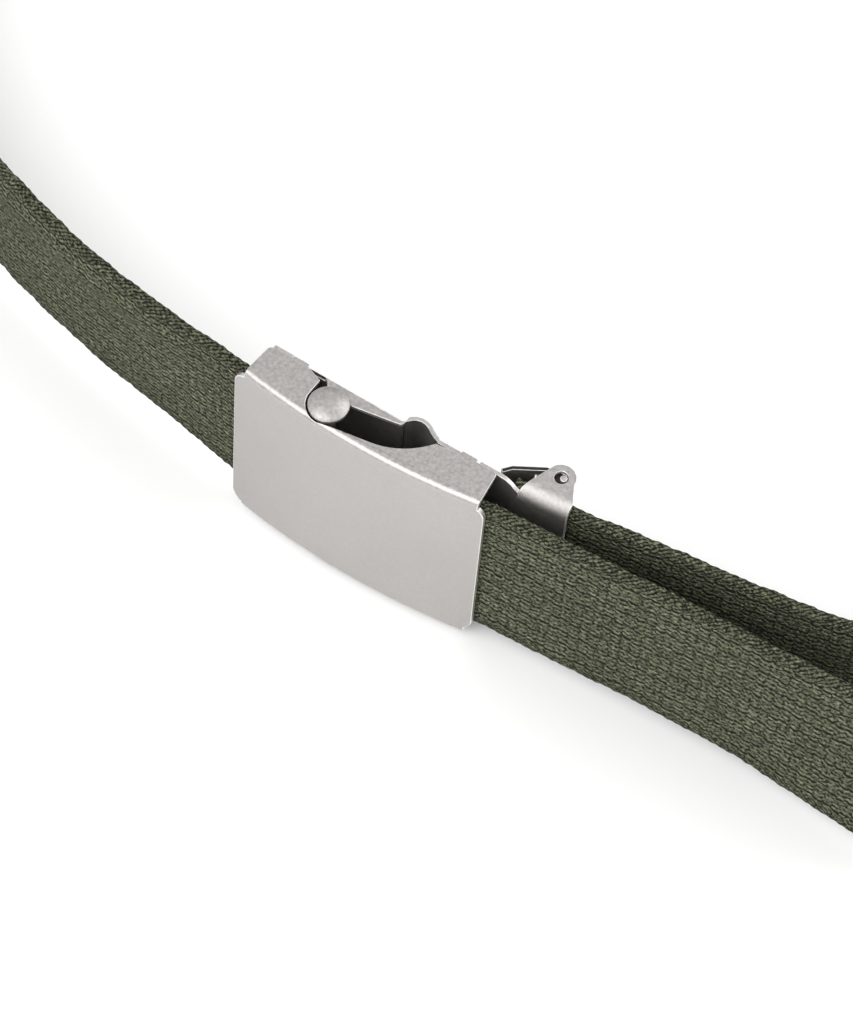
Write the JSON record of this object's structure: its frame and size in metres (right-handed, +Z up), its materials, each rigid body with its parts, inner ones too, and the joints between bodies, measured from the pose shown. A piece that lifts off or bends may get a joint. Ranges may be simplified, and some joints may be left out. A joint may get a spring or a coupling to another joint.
{
  "type": "canvas web belt",
  "caption": "Canvas web belt fastened as a closed loop by a box frame steel buckle with a sliding locking roller, a clamp for the fixed end and a short free end.",
  "frame": {"origin": "centre of the standing loop in plan, at the height of the surface that it stands on", "axes": "+X to the right seen from in front of the buckle, +Y from the buckle to the back of the loop, +Z up along the strap's width"},
  "size_m": [0.3485, 0.2452, 0.0457],
  "materials": {
    "buckle_steel": "satin, finely blasted",
    "bare_steel": "satin",
    "canvas": "olive green woven webbing"
  },
  "bodies": {
    "belt": {"strap": "canvas", "buckle_frame": "buckle_steel", "back_plate": "bare_steel"},
    "roller": {"roller": "buckle_steel"},
    "clamp_lever": {"clamp_lever": "bare_steel"}
  },
  "joints": [
    {"name": "roller_slide", "type": "slide", "parent": "belt", "child": "roller", "axis": [0.9849, 0.1733, 0], "range_m": [0, 0.0115]},
    {"name": "lever_hinge", "type": "hinge", "parent": "belt", "child": "clamp_lever", "pos_m": [0.0323, -0.1077, 0.023], "axis": [0, 0, -1], "range_deg": [0, 110]}
  ]
}
